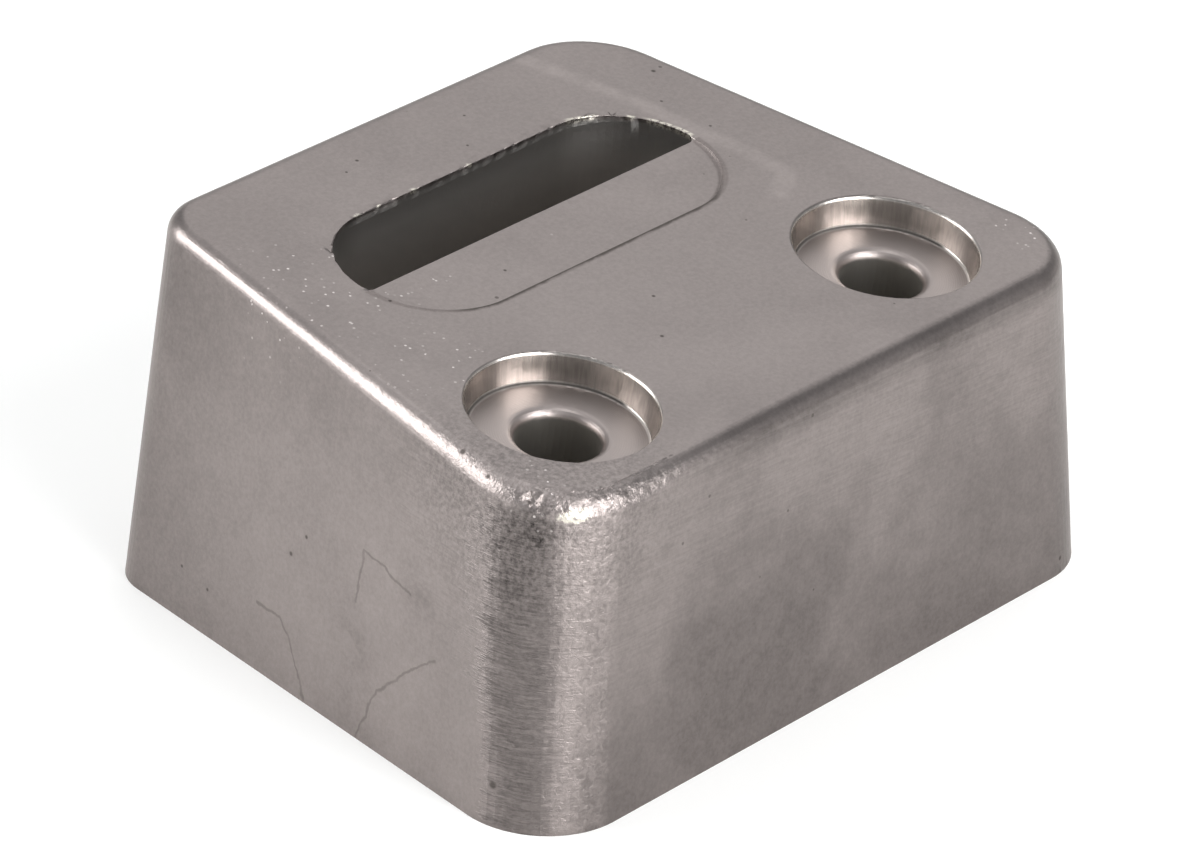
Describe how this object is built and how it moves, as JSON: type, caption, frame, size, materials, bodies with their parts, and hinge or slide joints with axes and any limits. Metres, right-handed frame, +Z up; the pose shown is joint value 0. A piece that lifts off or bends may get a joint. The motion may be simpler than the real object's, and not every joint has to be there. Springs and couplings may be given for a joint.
{
  "type": "sacrificial anode",
  "caption": "Cast zinc block anode, tapered in plan with a sloping top face, two counterbored bolt holes and a stepped slot right through.",
  "frame": {"origin": "centre of the flat base", "axes": "+X along the two bolt holes, -Y towards the low front where they are, +Z up from the base"},
  "size_m": [0.0652, 0.0516, 0.031],
  "materials": {
    "cast_zinc": "satin as-cast zinc, lightly brushed, with fine pits"
  },
  "bodies": {
    "root": {"anode_block": "cast_zinc"}
  },
  "joints": []
}
